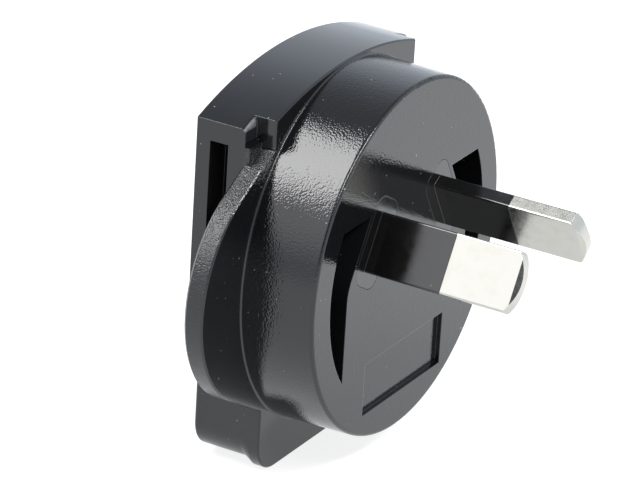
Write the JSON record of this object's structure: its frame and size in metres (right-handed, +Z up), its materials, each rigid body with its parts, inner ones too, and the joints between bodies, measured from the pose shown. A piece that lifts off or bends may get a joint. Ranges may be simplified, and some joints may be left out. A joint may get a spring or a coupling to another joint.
{
  "type": "plug adapter",
  "caption": "Clip-on plug head with leaning flat pins in insulating sleeves, finger ears and side grooves that slide onto a wall power supply.",
  "frame": {"origin": "on the rear mating face, level with the middle of the pin pattern", "axes": "+Y out of the rear face toward the power supply, the pins point along -Y, +Z up with the arched top above and the chin below, +X to the right when facing the pins"},
  "size_m": [0.053, 0.0327, 0.0416],
  "materials": {
    "housing_plastic": "moulded black plastic, fine grain, semi-gloss",
    "sleeve_plastic": "smooth black insulating sleeve",
    "pin_metal": "nickel-plated brass, satin",
    "contact_metal": "bare spring bronze"
  },
  "bodies": {
    "root": {"housing": "housing_plastic", "rear_cover": "housing_plastic", "sleeve_left": "sleeve_plastic", "sleeve_right": "sleeve_plastic", "pin_left": "pin_metal", "pin_right": "pin_metal", "contact_left": "contact_metal", "contact_right": "contact_metal"}
  },
  "joints": []
}
